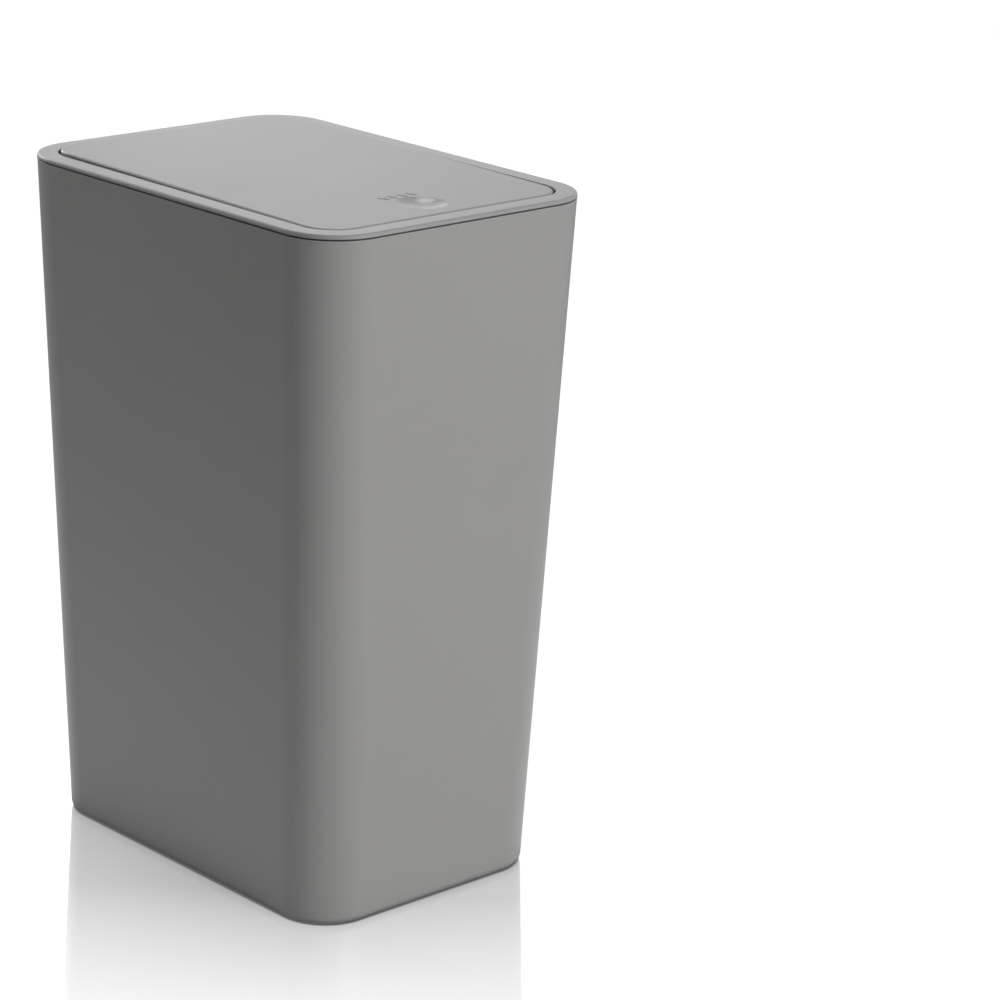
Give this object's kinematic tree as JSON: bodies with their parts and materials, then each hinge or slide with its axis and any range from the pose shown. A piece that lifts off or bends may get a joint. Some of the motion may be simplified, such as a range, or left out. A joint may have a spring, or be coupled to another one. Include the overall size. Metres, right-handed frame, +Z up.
{
  "type": "push top countertop bin",
  "caption": "Tall tapered countertop bin with rounded corners, a lift-off rim frame and a sprung lid that opens when its finger dish is pushed.",
  "frame": {"origin": "centre of the footprint, on the surface the bin stands on", "axes": "+Z up, -Y towards the front edge with the finger dish, +Y towards the lid hinge, X across the width"},
  "size_m": [0.1556, 0.213, 0.3115],
  "materials": {
    "body_plastic": "fine-grained satin polypropylene, warm mid grey",
    "rim_plastic": "fine-grained satin polypropylene, warm mid grey",
    "lid_plastic": "fine-grained satin polypropylene, warm mid grey",
    "latch_plastic": "plain moulded dark grey",
    "acetal": "natural acetal, slightly translucent white",
    "pin_steel": "bright drawn wire",
    "spring_steel": "oiled spring wire",
    "screw_steel": "zinc plated",
    "soft_rubber": "soft matt rubber"
  },
  "bodies": {
    "bin": {"bin_body": "body_plastic", "foot_pad_front_left": "soft_rubber", "foot_pad_front_right": "soft_rubber", "foot_pad_rear_left": "soft_rubber", "foot_pad_rear_right": "soft_rubber"},
    "rim": {"rim_frame": "rim_plastic", "hinge_pin_left": "pin_steel", "hinge_pin_right": "pin_steel", "hinge_spring_left": "spring_steel", "hinge_spring_right": "spring_steel", "latch_housing": "latch_plastic", "latch_cover": "latch_plastic", "latch_spring": "spring_steel", "latch_cam_wire": "spring_steel", "latch_jaw_pins": "pin_steel", "latch_screws": "screw_steel", "lid_buffer_left": "soft_rubber", "lid_buffer_right": "soft_rubber"},
    "lid": {"lid_panel": "lid_plastic", "lid_striker": "acetal", "striker_screws": "screw_steel"},
    "plunger": {"latch_plunger": "acetal"},
    "jaw_left": {"latch_jaw_left": "acetal"},
    "jaw_right": {"latch_jaw_right": "acetal"}
  },
  "joints": [
    {"name": "rim_lift", "type": "slide", "parent": "bin", "child": "rim", "axis": [0, 0, 1], "range_m": [0, 0.06]},
    {"name": "lid_hinge", "type": "hinge", "parent": "rim", "child": "lid", "pos_m": [0, 0.08204, 0.3059], "axis": [-1, 0, 0], "range_deg": [-0.7, 80], "deforming": ["hinge_spring_left", "hinge_spring_right"]},
    {"name": "jaw_right_swing", "type": "hinge", "parent": "rim", "child": "jaw_right", "pos_m": [0.008, -0.086, 0.274], "axis": [0, -1, 0], "range_deg": [0, 7.5]},
    {"name": "plunger_press", "type": "slide", "parent": "rim", "child": "plunger", "axis": [0, 0, 1], "range_m": [-0.0024, 0], "stiffness_N_per_m": 20, "springref_m": 0.0015, "deforming": ["latch_spring"]},
    {"name": "jaw_left_swing", "type": "hinge", "parent": "rim", "child": "jaw_left", "pos_m": [-0.008, -0.086, 0.274], "axis": [0, 1, 0], "range_deg": [0, 7.5]}
  ],
  "couplings": [
    {"joint": "jaw_left_swing", "follows": "plunger_press", "rad_per_m": -54.5},
    {"joint": "jaw_right_swing", "follows": "plunger_press", "rad_per_m": -54.5}
  ]
}
